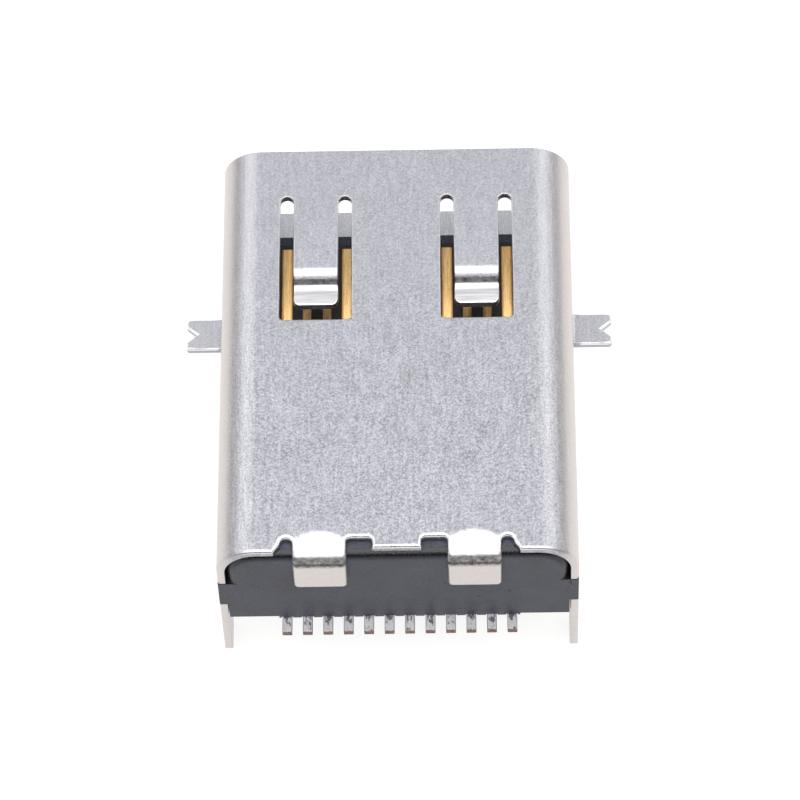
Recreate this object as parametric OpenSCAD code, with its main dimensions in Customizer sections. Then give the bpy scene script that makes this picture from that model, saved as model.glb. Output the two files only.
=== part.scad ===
// Board socket for a reversible 24-contact plug, made to be soldered flat on a circuit board.
// Frame: X runs across the socket, +Y out of the mouth towards the plug, +Z up from the board.
// The origin is the centre of the mouth, in the plane of the shell's front edge.
// Lengths named "from the mouth" are measured back along -Y.

/* [Mouth and shell] */
// Width of the opening that takes the plug
cavity_w = 8.34; // [8.2:0.02:8.6]
// Height of the opening that takes the plug
cavity_h = 2.56; // [2.5:0.02:2.8]
// Inside corner radius of the rolled shell
corner_r = 0.8; // [0.6:0.05:1]
// Thickness of the shell's steel sheet
sheet = 0.2; // [0.15:0.01:0.25]
// Length of the shell's sides, from the mouth
shell_len = 11.7; // [11.4:0.1:13]
// Length of the open underside behind the shell's bottom plate
rear_open = 3.2; // [3:0.1:3.7]
// Gap of the butt seam along the middle of the bottom plate
seam_gap = 0.03; // [0.02:0.01:0.06]
// Front of the dovetail that locks the seam, from the mouth
key_front = 3.57; // [3:0.01:4]
// Length of that dovetail
key_len = 1.36; // [1:0.02:2]
// Sideways reach of that dovetail
seam_key = 0.5; // [0.3:0.05:0.7]
// How far the dovetail is wider at its end than at its root, on each side
key_hook = 0.2; // [0.1:0.02:0.3]
// Height of the shell's underside above the board
standoff = 0.35; // [0.3:0.05:0.6]

/* [Spring fingers] */
// Distance of each finger's centre line from the middle
spring_x = 2; // [1.8:0.05:2.2]
// Width of a finger
spring_w = 1.12; // [0.8:0.02:1.3]
// Width of the slot on each side of a finger
slot_w = 0.33; // [0.25:0.01:0.4]
// Front end of the slots, from the mouth
slot_front = 1.4; // [1.2:0.05:1.8]
// Length of the slots
slot_len = 3.66; // [3.4:0.05:4]
// Flat length of a finger before it dips
spring_flat = 2.08; // [1.8:0.02:2.2]
// Top radius of the bend that turns a finger down
spring_bend_r = 0.42; // [0.35:0.01:0.5]
// Steepest slope of a finger, in degrees
spring_slope = 60; // [45:1:65]
// Top radius of the bend that turns a finger up again
spring_heel_r = 0.2; // [0.15:0.01:0.3]
// Upward slope of a finger's tip, in degrees
spring_lift = 15; // [5:1:25]
// Length of a finger's tip behind its heel
spring_tip = 0.45; // [0.3:0.05:0.6]
// Corner radius of a finger's tip
spring_corner_r = 0.24; // [0.1:0.02:0.4]

/* [Rear edge of the shell] */
// Corner radius that the shears leave in windows and notches
shear_r = 0.1; // [0.04:0.01:0.15]
// How far the middle of the rear edge stops short of the sides
edge_setback = 0.1; // [0.05:0.01:0.2]
// Half width of the middle part of the rear edge
edge_mid = 0.6; // [0.4:0.05:0.8]
// Depth of the relief notches, from the middle of the rear edge
notch_depth = 0.3; // [0.25:0.05:0.6]
// Inner edge of a hold-down tab, from the middle
tab_in = 1.21; // [1:0.05:1.4]
// Width of a hold-down tab
tab_w = 1.3; // [1:0.05:1.5]
// Inside radius of the bend of a hold-down tab
tab_r = 0.28; // [0.2:0.02:0.34]
// Height of the lower end of a hold-down tab above the middle of the mouth
tab_end_z = 0.1; // [-0.2:0.05:0.4]
// Corner radius at the lower end of a hold-down tab
tab_corner_r = 0.13; // [0.05:0.01:0.2]
// Width of the relief notch outside each hold-down tab
relief_w = 0.29; // [0.24:0.01:0.35]
// Sideways reach of the flare from that notch to the rear edge
flare_w = 0.17; // [0.1:0.01:0.25]
// Length of that flare, along the shell
flare_len = 0.24; // [0.1:0.01:0.3]
// Radius of that notch's end and of its flare
relief_r = 0.14; // [0.08:0.01:0.16]

/* [Ears and legs] */
// Middle of the ears, from the mouth
ear_y = 3.45; // [3:0.05:4]
// Length of an ear along the shell
ear_w = 0.88; // [0.7:0.02:1.1]
// Reach of the ears' tips from the middle of the socket
ear_reach = 5.4; // [5.1:0.05:5.8]
// Depth of the V cut in the end of an ear
ear_vee = 0.27; // [0.2:0.01:0.35]
// Width of the V cut at the end of an ear
ear_vee_w = 0.46; // [0.3:0.02:0.5]
// Inside radius of the bend at the root of an ear
ear_r = 0.12; // [0.1:0.01:0.2]
// Corner radius of an ear's tip
ear_corner_r = 0.09; // [0.03:0.01:0.12]
// Slit on each side of an ear and of a side flap
relief = 0.14; // [0.1:0.01:0.2]
// Inner edge of the window that an ear was cut from, from the middle
window_in = 3.05; // [2.95:0.05:3.2]
// Length of the side flap that carries a leg
flap_len = 2.6; // [2.4:0.1:2.8]
// Height of the flap's lower edge above the board
flap_lift = 0.3; // [0.1:0.05:0.5]
// Width of a leg at the flap
leg_w = 1.15; // [0.9:0.05:1.3]
// Width of a leg at its tip
leg_tip_w = 0.8; // [0.5:0.05:0.9]
// How far a leg stops short of the shell's rear edge
leg_setback = 0.08; // [0.05:0.01:0.2]
// Length of a leg below the board's upper face
leg_len = 1.6; // [1.2:0.1:2]
// Corner radius of a leg and its flap
leg_corner_r = 0.12; // [0.05:0.01:0.2]

/* [Housing] */
// Front face of the housing, from the mouth
housing_front = 6.7; // [6.5:0.1:7]
// Clearance between the shell and the moulding inside it
fit = 0.02; // [0.01:0.005:0.03]
// Height of the side ribs that show through the shell
rib_h = 0.98; // [0.8:0.02:1.1]
// Middle height of the side ribs, below the middle of the mouth
rib_drop = 0.52; // [0.45:0.01:0.6]
// Length of the side ribs along the shell
rib_len = 0.9; // [0.6:0.1:1.1]
// Height of the step in the housing's underside
sole_step = 0.08; // [0.05:0.01:0.15]
// How far the underside reaches down between the feet, below their upper faces
sole_lap = 0.03; // [0:0.01:0.08]
// Reach of the lower, middle part of the underside past the middle of the outermost contacts
sole_side = 0.2; // [0.15:0.01:0.5]
// Room behind the front row's feet in the recess over them
recess_room = 0.29; // [0.1:0.01:0.4]
// Height of the recess over the front row of feet
recess_h = 0.55; // [0.4:0.05:0.7]

/* [Tongue] */
// Plastic of the tongue on each side of the two contact mouldings
tongue_side = 0.345; // [0.33:0.005:0.375]
// Thickness of the tongue
tongue_t = 0.7; // [0.66:0.01:0.76]
// Tip of the tongue, from the mouth
tongue_tip = 1.76; // [1.6:0.02:2]
// Height of the bevel along the tongue's tip
tip_bevel = 0.14; // [0.05:0.01:0.18]
// Length of that bevel
tip_bevel_len = 0.1; // [0.05:0.01:0.2]
// Corner radius of the tongue's tip
tip_corner_r = 0.2; // [0.1:0.01:0.3]
// Plastic in front of the two contact mouldings
tip_wall = 0.34; // [0.2:0.01:0.4]
// Front of the thick root of the tongue, from the mouth
root_front = 5.3; // [5.1:0.05:5.6]
// Thickness of the root of the tongue, without its ground plates
root_t = 1.2; // [1.1:0.02:1.3]
// Thickness of the plate in the middle of the tongue
plate_t = 0.15; // [0.1:0.01:0.2]
// How far that plate stops short of the housing's rear face
plate_back = 1.6; // [1.5:0.1:2]
// Front of the latch recess in the tongue's sides, from the mouth
latch_front = 3.35; // [3.2:0.05:3.6]
// Length of the latch recess
latch_len = 1.2; // [1:0.05:1.4]
// Depth of the latch recess
latch_depth = 0.28; // [0.2:0.01:0.3]
// Slant of the latch recess's ends, along the tongue
latch_slant = 0.1; // [0.05:0.01:0.15]
// Thickness of the ground plates on the root
ground_t = 0.1; // [0.08:0.01:0.15]
// Outside bend radius of the ground plates
ground_r = 0.16; // [0.16:0.01:0.2]

/* [Contacts] */
// Contacts in each row
contact_count = 12; // [12:1:12]
// Spacing of the contacts
pitch = 0.5; // [0.5:0.005:0.505]
// Thickness of a contact
contact_t = 0.15; // [0.12:0.01:0.18]
// Width of the signal contacts on the tongue
signal_w = 0.22; // [0.2:0.01:0.26]
// Width of the power and ground contacts on the tongue
power_w = 0.29; // [0.26:0.01:0.32]
// How far the power and ground contacts start behind the front of their moulding
power_gap = 0.12; // [0.12:0.02:0.4]
// How much shorter the signal contacts are at the front
signal_back = 0.5; // [0.2:0.05:0.8]
// Width of the feet
foot_w = 0.24; // [0.2:0.01:0.28]
// Inside bend radius of the contacts
contact_r = 0.12; // [0.08:0.01:0.14]
// How far the rear row of feet stands out behind the housing
foot_out = 0.43; // [0.3:0.01:0.6]
// Wall of the housing behind the rear row's upright legs
back_wall = 0.2; // [0.15:0.01:0.25]
// Gap between the shell's bottom plate and the front row's upright legs
row_gap = 0.85; // [0.75:0.05:0.95]
// Length of the front row's feet
front_foot = 0.6; // [0.4:0.05:0.7]
// Plastic outside the outermost contacts in the two contact mouldings
insert_side = 0.105; // [0.025:0.005:0.125]

/* [Hidden] */

$fn = 48;
eps = 0.05;                                  // overrun of a cut past the face it opens
outer_w = cavity_w + 2 * sheet;
outer_h = cavity_h + 2 * sheet;
outer_r = corner_r + sheet;
side_x = outer_w / 2;
top_z = outer_h / 2;
ceil_z = cavity_h / 2;
wall_foot_z = -(top_z - outer_r);            // where a side wall starts to turn into the bottom
floor_len = shell_len - rear_open;           // rear edge of the bottom plate
board_z = -top_z - standoff;
slot_rear = slot_front + slot_len;
spring_bend_y = slot_front + spring_flat;
edge_y = shell_len - edge_setback;           // middle of the shell's rear edge
notch_y = edge_y - notch_depth;
tab_out = tab_in + tab_w;
tab_bend_y = shell_len + fit - tab_r;        // where a hold-down tab leaves the flat plate
relief_out = tab_out + relief_w;
rib_top_z = -rib_drop + rib_h / 2;
rib_foot_z = -rib_drop - rib_h / 2;
flap_rear = shell_len - rib_len - fit;       // front edge of the notch round a side rib
flap_front = shell_len - flap_len;
leg_rear = shell_len - leg_setback;
edge_r = tab_r - fit;                        // rounded rear edge under the tabs
half_in = cavity_w / 2 - fit;                // half width of the housing in the shell
roof_z = ceil_z - fit;
foot_top_z = board_z + contact_t;
sole_z = foot_top_z - sole_lap;              // lowest face of the housing
upright_rear = shell_len - back_wall;        // rear face of the rear row's upright legs
front_row = floor_len + row_gap + contact_t; // rear face of the front row's upright legs
insert_front = tongue_tip + tip_wall;
insert_w = (contact_count - 1) * pitch + power_w + 2 * insert_side;
tongue_w = insert_w + 2 * tongue_side;
plate_half_w = tongue_w / 2 - latch_depth;
sole_half_w = (contact_count - 1) / 2 * pitch + sole_side;
upper_insert_len = upright_rear - contact_t - 2 * contact_r - insert_front;
lower_insert_len = front_row - contact_t - 2 * contact_r - insert_front;
cover = tongue_t / 2;                        // upper face of the tongue
core = plate_t / 2;                          // upper face of the plate in the tongue
plate_rear = shell_len - plate_back;
power_front = insert_front + power_gap;
pad_z = root_t / 2;

function contact_name(row, i) = str(row, "_contact_", i < 9 ? "0" : "", i + 1);
function contact_x(i) = (i - (contact_count - 1) / 2) * pitch;
function is_power(i) = min(i, contact_count - 1 - i) == 0 || min(i, contact_count - 1 - i) == 3;
function beam_w(i) = is_power(i) ? power_w : signal_w;
function beam_front(i) = power_front + (is_power(i) ? 0 : signal_back);

// ---- helpers ----

// A 2D shape in X and Z, run back from the mouth between two distances
module along_y(from, to) {
    translate([0, -from, 0]) rotate([90, 0, 0]) linear_extrude(to - from) children();
}

// A 2D shape in Y and Z, run across X on both sides of the middle
module along_x(width) {
    rotate([90, 0, 90]) linear_extrude(width, center = true) children();
}

// A 2D shape in X and Y, raised between two heights
module along_z(from, to) {
    translate([0, 0, from]) linear_extrude(to - from) children();
}

// A box by its sides: x is the half width about the middle, y is measured from the mouth
module block(half_w, y_from, y_to, z_from, z_to) {
    translate([-half_w, -y_to, z_from]) cube([2 * half_w, y_to - y_from, z_to - z_from]);
}

module round_rect(w, h, r) {
    square([w - 2 * r, h], center = true);
    square([w, h - 2 * r], center = true);
    for (sx = [-1, 1], sy = [-1, 1])
        translate([sx * (w / 2 - r), sy * (h / 2 - r)]) circle(r);
}

// Part of a ring: a strip of sheet bent round an inside radius, between two angles
module bend(r, t, from, to) {
    reach = 3 * (r + t);
    middle = (from + to) / 2;
    intersection() {
        difference() {
            circle(r + t);
            circle(r);
        }
        polygon([[0, 0], for (a = [from, middle, to]) reach * [cos(a), sin(a)]]);
    }
}

// Points along an arc, from one angle to another
function arc_points(centre, r, from, to, steps = 12) =
    [for (i = [0:steps]) centre + r * [cos(from + (to - from) * i / steps), sin(from + (to - from) * i / steps)]];

module round_out(r) { offset(r = r, $fn = 24) offset(delta = -r) children(); }
module round_in(r) { offset(r = -r, $fn = 24) offset(delta = r) children(); }
module both_sides() { for (side = [0, 1]) mirror([side, 0, 0]) children(); }

// ---- shell ----

// Slots and clearance of one spring finger, seen from above
module spring_window() {
    half = spring_w / 2 + slot_w;
    for (side = [-1, 1])
        translate([side * (spring_w + slot_w) / 2, -slot_front]) {
            translate([0, -slot_w / 2]) circle(d = slot_w);
            translate([-slot_w / 2, -slot_len + slot_w]) square([slot_w, slot_len - 1.5 * slot_w]);
        }
    round_out(shear_r)
        translate([-half, -slot_rear]) square([2 * half, slot_rear - spring_bend_y]);
    for (side = [-1, 1])
        translate([side * (spring_w + slot_w) / 2 - slot_w / 2, -spring_bend_y - slot_w])
            square([slot_w, 2 * slot_w]);
}

// Side view of the sprung part of a finger, from the end of its flat root: it turns down,
// then up again in a heel that presses on the plug
module spring_profile() {
    normal = 90 + spring_slope;
    lift = 270 - spring_lift;
    turn = [-spring_bend_y, top_z - spring_bend_r];
    heel = turn + (spring_bend_r + spring_heel_r) * [cos(normal), sin(normal)];
    along_tip = spring_tip * [sin(lift), -cos(lift)];
    heel_in = arc_points(heel, spring_heel_r, 180 + normal, lift);
    heel_out = arc_points(heel, spring_heel_r + sheet, lift, 180 + normal);
    polygon(concat(
        [[-spring_bend_y + eps, top_z]],
        arc_points(turn, spring_bend_r, 90, normal),
        heel_in,
        [heel_in[len(heel_in) - 1] + along_tip, heel_out[0] + along_tip],
        heel_out,
        arc_points(turn, spring_bend_r - sheet, normal, 90),
        [[-spring_bend_y + eps, top_z - sheet]]
    ));
}

module spring() {
    intersection() {
        along_x(spring_w) spring_profile();
        along_z(0, top_z + eps)
            round_out(spring_corner_r) translate([-spring_w / 2, -spring_bend_y - spring_reach])
                square([spring_w, spring_reach + 1]);
    }
}

// How far back a finger reaches from the start of its bend
spring_reach = (spring_bend_r + spring_heel_r) * sin(spring_slope)
    + spring_heel_r * sin(spring_lift) + spring_tip * cos(spring_lift)
    + sheet * sin(spring_lift);

// What the shears took from the rear edge of the top plate, seen from above
module rear_edge_cut() {
    back = -shell_len - 1;
    half = [
        [edge_mid, -edge_y], [edge_mid, -notch_y], [tab_in, -notch_y], [tab_in, -tab_bend_y],
        [relief_out, -tab_bend_y], [relief_out, back]
    ];
    round_out(shear_r)
        polygon(concat(half, [for (i = [len(half) - 1:-1:0]) [-half[i].x, half[i].y]]));
    both_sides() round_out(relief_r) round_in(relief_r) polygon([
        [tab_out, -notch_y], [relief_out, -notch_y], [relief_out, -shell_len + flare_len],
        [relief_out + flare_w, -shell_len], [relief_out + flare_w, back], [tab_out, back]
    ]);
}

// A tab folded down over the housing's rear face
module hold_down_tab() {
    outer = tab_r + sheet;
    intersection() {
        translate([tab_in + tab_w / 2, 0, 0]) along_x(tab_w) {
            translate([-tab_bend_y, top_z - sheet]) square([eps, sheet]);
            translate([-tab_bend_y, top_z - outer]) bend(tab_r, sheet, 90, 180);
            translate([-tab_bend_y - outer, tab_end_z]) square([sheet, top_z - outer - tab_end_z]);
        }
        along_y(0, shell_len + 1)
            round_out(tab_corner_r) translate([tab_in, tab_end_z]) square([tab_w, top_z + 1]);
    }
}

// One straight cut of the seam, between two points of the bottom plate
module seam_cut(a, b) {
    run = b - a;
    translate(a) rotate(atan2(run.y, run.x)) translate([-seam_gap / 2, -seam_gap / 2])
        square([norm(run) + seam_gap, seam_gap]);
}

module seam() {
    key_rear = key_front + key_len;
    route = [
        [0, eps], [0, -key_front - key_hook], [seam_key, -key_front], [seam_key, -key_rear],
        [0, -key_rear + key_hook], [0, -floor_len - eps]
    ];
    for (i = [1:len(route) - 1]) seam_cut(route[i - 1], route[i]);
}

// Side view of the flap and leg below a side wall
module leg_profile() {
    flap_foot_z = board_z + flap_lift;
    tip_z = board_z - leg_len;
    round_out(leg_corner_r) round_in(3 * fit) polygon([
        [-flap_front, wall_foot_z + 1], [-flap_front, flap_foot_z],
        [-leg_rear + leg_w, flap_foot_z], [-leg_rear + leg_w, board_z],
        [-leg_rear + leg_tip_w, tip_z], [-leg_rear, tip_z],
        [-leg_rear, rib_foot_z - fit], [-flap_rear, rib_foot_z - fit],
        [-flap_rear, wall_foot_z + 1]
    ]);
}

module leg() {
    intersection() {
        translate([side_x - sheet / 2, 0, 0]) along_x(sheet) leg_profile();
        block(outer_w, 0, shell_len, board_z - leg_len - 1, wall_foot_z);
    }
}

module ear_plan() {
    half = ear_w / 2;
    round_out(ear_corner_r) difference() {
        translate([side_x - sheet, -half]) square([ear_reach - side_x + sheet, ear_w]);
        polygon([[ear_reach - ear_vee, 0], [ear_reach + eps, ear_vee_w / 2 * (1 + eps / ear_vee)],
                 [ear_reach + eps, -ear_vee_w / 2 * (1 + eps / ear_vee)]]);
    }
}

module ear() {
    turn_z = board_z + sheet + ear_r;
    // the upright part, then the bend and the foot cut to their plan
    translate([side_x - sheet, -ear_y - ear_w / 2, turn_z])
        cube([sheet, ear_w, wall_foot_z - turn_z]);
    along_y(ear_y - ear_w / 2, ear_y + ear_w / 2)
        translate([side_x + ear_r, turn_z]) bend(ear_r, sheet, 180, 270);
    intersection() {
        translate([side_x + ear_r, -ear_y - ear_w, board_z])
            cube([ear_reach, 2 * ear_w, sheet]);
        translate([0, -ear_y, 0]) along_z(board_z - eps, board_z + sheet + eps) ear_plan();
    }
}

module shell() color("silver") {
    ear_gap = ear_w / 2 + relief;
    difference() {
        along_y(0, shell_len) difference() {
            round_rect(outer_w, outer_h, outer_r);
            round_rect(cavity_w, cavity_h, corner_r);
        }
        for (face = [0, 1]) mirror([0, 0, face])
            along_z(ceil_z - eps, top_z + eps)
                for (side = [-1, 1]) translate([side * spring_x, 0]) spring_window();
        along_z(ceil_z - eps, top_z + eps) rear_edge_cut();
        along_z(-top_z - eps, -ceil_z + eps) seam();
        // lower rear of the shell, open round the housing
        block(outer_w, floor_len, shell_len + 1, -top_z - eps, wall_foot_z);
        // notches round the side ribs
        block(outer_w, flap_rear, shell_len + 1, wall_foot_z - eps, rib_top_z + fit);
        // windows in the lower corners that the ears were cut from
        both_sides() translate([window_in, -ear_y - ear_gap, -top_z - eps])
            cube([outer_w, 2 * ear_gap, wall_foot_z + top_z + eps]);
    }
    for (face = [0, 1], side = [-1, 1])
        mirror([0, 0, face]) translate([side * spring_x, 0, 0]) spring();
    both_sides() {
        hold_down_tab();
        leg();
        ear();
    }
}

// ---- plastic ----

// Side view of the tongue and its root, upper half mirrored below
module tongue_profile() {
    polygon([
        [-tongue_tip, cover - tip_bevel], [-tongue_tip - tip_bevel_len, cover],
        [-root_front, cover], [-root_front - (pad_z - cover), pad_z], [-housing_front - eps, pad_z],
        [-housing_front - eps, -pad_z], [-root_front - (pad_z - cover), -pad_z], [-root_front, -cover],
        [-tongue_tip - tip_bevel_len, -cover], [-tongue_tip, -cover + tip_bevel]
    ]);
}

// The tongue from above, with the recesses in its sides that a plug's latches snap into
module tongue_plan() {
    half = tongue_w / 2;
    round_out(tip_corner_r) round_in(latch_slant) polygon([
        [-half, -tongue_tip], [half, -tongue_tip],
        [half, -latch_front], [half - latch_depth, -latch_front - latch_slant],
        [half - latch_depth, -latch_front - latch_len + latch_slant], [half, -latch_front - latch_len],
        [half, -housing_front - 1], [-half, -housing_front - 1],
        [-half, -latch_front - latch_len], [-half + latch_depth, -latch_front - latch_len + latch_slant],
        [-half + latch_depth, -latch_front - latch_slant], [-half, -latch_front]
    ]);
}

module tongue() {
    intersection() {
        along_x(tongue_w + 1) tongue_profile();
        along_z(-pad_z, pad_z) tongue_plan();
        block(tongue_w, tongue_tip, housing_front, -pad_z, pad_z);
    }
}

// The housing from its middle out to one of its faces: the edge at its rear is rounded
module rolled_rear(reach) {
    translate([0, housing_front]) square([reach, shell_len - edge_r - housing_front]);
    translate([0, housing_front]) square([reach - edge_r, shell_len - housing_front]);
    translate([reach - edge_r, shell_len - edge_r]) circle(edge_r);
}

// The main block: the rounded edge runs along its top, round the corners and down to the side ribs
module housing_block() {
    r = corner_r - fit;
    rotate([90, 0, 0]) {
        rotate([90, 0, 90]) linear_extrude(2 * (half_in - r), center = true) rolled_rear(roof_z);
        both_sides() {
            translate([half_in - r, roof_z - r, 0]) rotate_extrude(angle = 90) rolled_rear(r);
            translate([0, roof_z - r, 0]) rotate([90, 0, 0])
                linear_extrude(roof_z - r - rib_top_z) rolled_rear(half_in);
        }
    }
    block(half_in, housing_front, shell_len, sole_z, rib_top_z);
}

// Room in the housing for the rear row: its beams, upright legs and feet
module rear_row_room() {
    front = insert_front + upper_insert_len;
    for (i = [0:contact_count - 1]) translate([contact_x(i), 0, 0]) {
        half = foot_w / 2 + fit;
        block(half, front, upright_rear + fit, cover - contact_t - 2 * contact_r, cover + fit);
        block(half, upright_rear - contact_t - fit, upright_rear + fit, sole_z - eps, cover);
        // the bend into the foot, then the foot itself
        block(half, upright_rear, upright_rear + contact_r, sole_z - eps, foot_top_z + contact_r + fit);
        block(half, upright_rear, shell_len + eps, sole_z - eps, foot_top_z + fit);
    }
}

// Room in the housing for the front row: its beams and upright legs, and the open recess over its feet
module front_row_room() {
    front = insert_front + lower_insert_len;
    recess_front = front_row - contact_t - contact_r - fit;
    recess_rear = front_row + contact_r + front_foot + recess_room;
    for (i = [0:contact_count - 1]) translate([contact_x(i), 0, 0]) {
        half = foot_w / 2 + fit;
        block(half, front, front_row + fit, -cover - 2 * contact_r, -cover + contact_t + fit);
        block(half, front_row - contact_t - fit, front_row + fit, sole_z, -cover);
    }
    block(contact_x(contact_count - 1) + foot_w, recess_front, recess_rear,
          sole_z - eps, sole_z + recess_h);
}

module housing() color("dimgray") {
    difference() {
        union() {
            housing_block();
            tongue();
            // ribs that fill the notches in the shell's sides
            block(side_x, shell_len - rib_len, shell_len, rib_foot_z, rib_top_z);
        }
        // step in the underside, and the part in front of it that lies on the shell's bottom plate
        both_sides() translate([sole_half_w, -shell_len - eps, sole_z - eps])
            cube([outer_w, shell_len, eps + sole_step]);
        block(outer_w, 0, floor_len + fit, sole_z - eps, -ceil_z + fit);
        // corners of the lower block, inside the bend of the bottom plate
        both_sides() translate([half_in, -floor_len - fit, -ceil_z])
            cube([outer_w, floor_len, ceil_z]);
        lower_corner_cut();
        // tunnel of the two contact mouldings and the plate between them
        block(insert_w / 2, insert_front, insert_front + upper_insert_len + fit, 0, cover + fit);
        block(insert_w / 2, insert_front, insert_front + lower_insert_len + fit, -cover - fit, 0);
        block(plate_half_w, insert_front, plate_rear + fit, -core, core);
        rear_row_room();
        front_row_room();
    }
}

// Rounds the lower corners of the housing where it lies in the rolled bottom of the shell
module lower_corner_cut() {
    r = corner_r - fit;
    both_sides() along_y(housing_front - eps, floor_len + fit)
        translate([half_in - r, -roof_z + r]) difference() {
            translate([0, -r - eps]) square(r + eps);
            circle(r);
        }
}

// One of the two mouldings that hold a row of contacts; the upper one, flush with the tongue
module insert(length) {
    difference() {
        block(insert_w / 2, insert_front, insert_front + length, core, cover);
        for (i = [0:contact_count - 1]) translate([contact_x(i), 0, 0])
            block(beam_w(i) / 2, beam_front(i), insert_front + length + eps, cover - contact_t, cover + eps);
    }
}

module upper_insert() color("#26272b") insert(upper_insert_len);
module lower_insert() color("#26272b") mirror([0, 0, 1]) insert(lower_insert_len);

// ---- metal inside ----

// The stiffening plate: its edges show in the latch recesses of the tongue's sides
module mid_plate() color("lightsteelblue")
    block(plate_half_w, insert_front, plate_rear, -core, core);

// A ground plate folded over the root of the tongue, open at the front and rear
module ground_pad() {
    half = tongue_w / 2;
    front = root_front + pad_z - cover + fit;
    along_y(front, housing_front - fit) difference() {
        translate([0, pad_z / 2 + ground_t / 2])
            round_top(2 * (half + ground_t), pad_z + ground_t, ground_r);
        translate([-half, -eps]) square([2 * half, pad_z + eps]);
        translate([-half - 1, -eps]) square([2 * half + 2, core + eps]);
    }
}

// A rectangle about the origin whose two upper corners are rounded
module round_top(w, h, r) {
    translate([-w / 2, -h / 2]) square([w, h - r]);
    translate([-w / 2 + r, -h / 2]) square([w - 2 * r, h]);
    for (side = [-1, 1]) translate([side * (w / 2 - r), h / 2 - r]) circle(r);
}

module ground_pad_top() color("gainsboro") ground_pad();
module ground_pad_bottom() color("gainsboro") mirror([0, 0, 1]) ground_pad();

// ---- contacts ----

// Side view of the rear of a contact: its beam turns down at the upright leg and out into a foot
module contact_tail(beam_top_z, beam_from, upright, foot_len) {
    outer = contact_r + contact_t;
    turn_y = -upright + outer;
    translate([turn_y, beam_top_z - contact_t]) square([-beam_from - turn_y, contact_t]);
    translate([turn_y, beam_top_z - outer]) bend(contact_r, contact_t, 90, 180);
    translate([-upright, foot_top_z + contact_r])
        square([contact_t, beam_top_z - outer - foot_top_z - contact_r]);
    translate([-upright - contact_r, foot_top_z + contact_r]) bend(contact_r, contact_t, 270, 360);
    translate([-upright - contact_r - foot_len, board_z]) square([foot_len, contact_t]);
}

// A whole contact at the middle of the socket: a flat beam on the tongue and the bent tail behind it
module contact(i, beam_top_z, insert_len, upright, foot_len) {
    join_y = insert_front + insert_len;
    block(beam_w(i) / 2, beam_front(i), join_y, beam_top_z - contact_t, beam_top_z);
    // the narrower of the two runs on into the other, so that they are one piece
    block(min(beam_w(i), foot_w) / 2, join_y - eps, join_y + eps, beam_top_z - contact_t, beam_top_z);
    along_x(foot_w) contact_tail(beam_top_z, join_y, upright, foot_len);
}

module upper_contact(i) color("goldenrod") translate([contact_x(i), 0, 0])
    contact(i, cover, upper_insert_len, upright_rear, back_wall + foot_out - contact_r);

module lower_contact(i) color("goldenrod") translate([contact_x(i), 0, 0])
    contact(i, -cover + contact_t, lower_insert_len, front_row, front_foot);

shell();
housing();
upper_insert();
lower_insert();
mid_plate();
ground_pad_top();
ground_pad_bottom();
for (i = [0:contact_count - 1]) {
    upper_contact(i);
    lower_contact(i);
}
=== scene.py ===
"""Looks of a small board socket: rolled steel shell, moulded housing, gold contacts, tinned feet.

The solids come packed as a fixed frame. Each is copied here, its bends are made finer, its sheared
and moulded edges are rounded over, and it gets a finish of its own.
"""

import math

import bmesh
import bpy
from mathutils import Matrix, Vector


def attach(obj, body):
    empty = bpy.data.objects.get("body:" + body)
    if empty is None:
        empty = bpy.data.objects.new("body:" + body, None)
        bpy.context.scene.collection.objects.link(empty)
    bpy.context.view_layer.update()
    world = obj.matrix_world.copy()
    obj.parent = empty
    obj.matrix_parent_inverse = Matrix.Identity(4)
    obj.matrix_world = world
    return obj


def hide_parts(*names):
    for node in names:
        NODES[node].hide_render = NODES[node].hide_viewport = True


bl_info = {
    "name": "Board socket looks",
    "version": (1, 0, 0),
    "blender": (4, 5, 0),
    "location": "3D View > Sidebar > Socket",
    "description": "Builds the visible pieces of a board socket around its packed solids",
    "category": "Object",
}

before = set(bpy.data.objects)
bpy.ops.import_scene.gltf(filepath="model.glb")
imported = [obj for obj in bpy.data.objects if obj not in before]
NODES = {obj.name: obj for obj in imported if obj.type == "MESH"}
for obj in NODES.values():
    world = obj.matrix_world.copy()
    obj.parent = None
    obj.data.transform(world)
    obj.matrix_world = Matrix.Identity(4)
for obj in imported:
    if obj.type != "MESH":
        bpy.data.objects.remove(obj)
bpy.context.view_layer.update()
BODY = "root"
MM = 0.001

# Places and sizes in millimetres: X across, Y towards the mouth, Z up, from the mouth's middle.
# The sheet's thickness, and the height at which the tips of the legs stand on the table
SHEET = 0.2
TABLE_Z = -3.43

# the shell: its rear end, its outer side, and the centre and outer radius of its corners
SHELL_END_Y = -11.7
SHELL_TOP_Z = 1.48
SHELL_SIDE_X = 4.37
CORNER_R = 1.0
CORNER_X = SHELL_SIDE_X - CORNER_R
CORNER_Z = SHELL_TOP_Z - CORNER_R

# a hold-down tab: its middle and half width, and the centre and outer radius of its bend
TAB_MIDDLE_X = 1.86
TAB_HALF_W = 0.65
TAB_BEND_R = 0.48
TAB_BEND_Y = -11.44
TAB_BEND_Z = SHELL_TOP_Z - TAB_BEND_R

# the arch behind which the plate falls to a tab: its crown, its springing and its soft start
ARCH_FRONT_Y = -11.12
ARCH_SIDE_Y = -11.36
ARCH_EASE = 0.10

# the finer grid of that fall: its front edge, its rows, and the share of a tab's half width that
# falls. Its outermost columns lie past the notches' round corners, so that no slivers are left
FALL_FRONT_Y = -10.95
FALL_ROWS = 14
FALL_SHARE = 0.72
FALL_COLUMNS = (-1.18, -FALL_SHARE, -0.48, -0.24, 0.0, 0.24, 0.48, FALL_SHARE, 1.18)

# the fingers and the tabs lie within this half width, and a finger's tip shines from its heel to
# its end
INNER_X = 2.6
HEEL_Y = -3.92
TIP_END_Y = -4.60

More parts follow.
